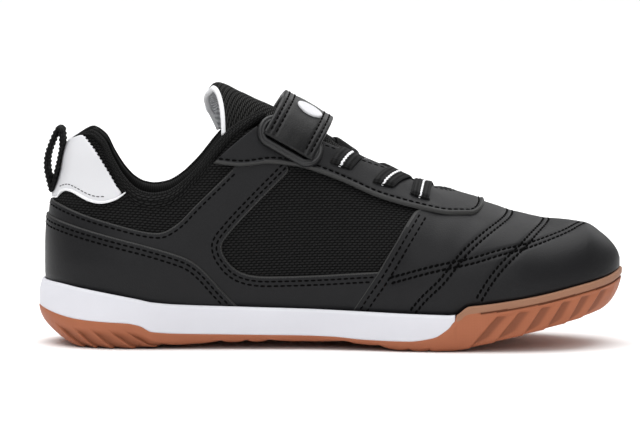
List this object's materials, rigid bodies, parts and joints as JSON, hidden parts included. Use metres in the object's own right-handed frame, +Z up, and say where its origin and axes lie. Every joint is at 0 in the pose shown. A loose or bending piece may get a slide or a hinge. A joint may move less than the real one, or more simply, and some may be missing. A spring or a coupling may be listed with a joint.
{
  "type": "indoor court shoe",
  "caption": "Low indoor court shoe for a left foot, hollow and empty, with a gum cup sole, foam midsole, instep strap in a half ring, flat elastic laces and a heel pull loop.",
  "frame": {"origin": "middle of the shoe's length and width, on the floor", "axes": "+X towards the toe, +Y towards the outer side of the left foot, +Z up"},
  "size_m": [0.23, 0.085, 0.103],
  "materials": {
    "gum_rubber": "matte gum rubber",
    "white_foam": "smooth closed-cell foam",
    "sock": "brushed felt",
    "black_knit": "knit mesh",
    "black_leather": "coated leather, soft sheen",
    "white_leather": "coated leather, soft sheen",
    "black_plastic": "moulded, satin",
    "black_webbing": "woven"
  },
  "bodies": {
    "root": {"outsole": "gum_rubber", "midsole": "white_foam", "insole": "sock", "upper": "black_knit", "vamp": "black_leather", "eyestay": "black_leather", "heel_counter": "black_leather", "saddle_medial": "black_leather", "saddle_lateral": "black_leather", "heel_tab": "white_leather", "collar": "black_knit", "tongue": "black_knit", "strap": "black_leather", "strap_patch": "white_leather", "strap_keeper": "black_plastic", "lace_bar_front": "black_webbing", "lace_cross_lower": "black_webbing", "lace_cross_upper": "black_webbing", "pull_loop": "black_webbing"}
  },
  "joints": []
}
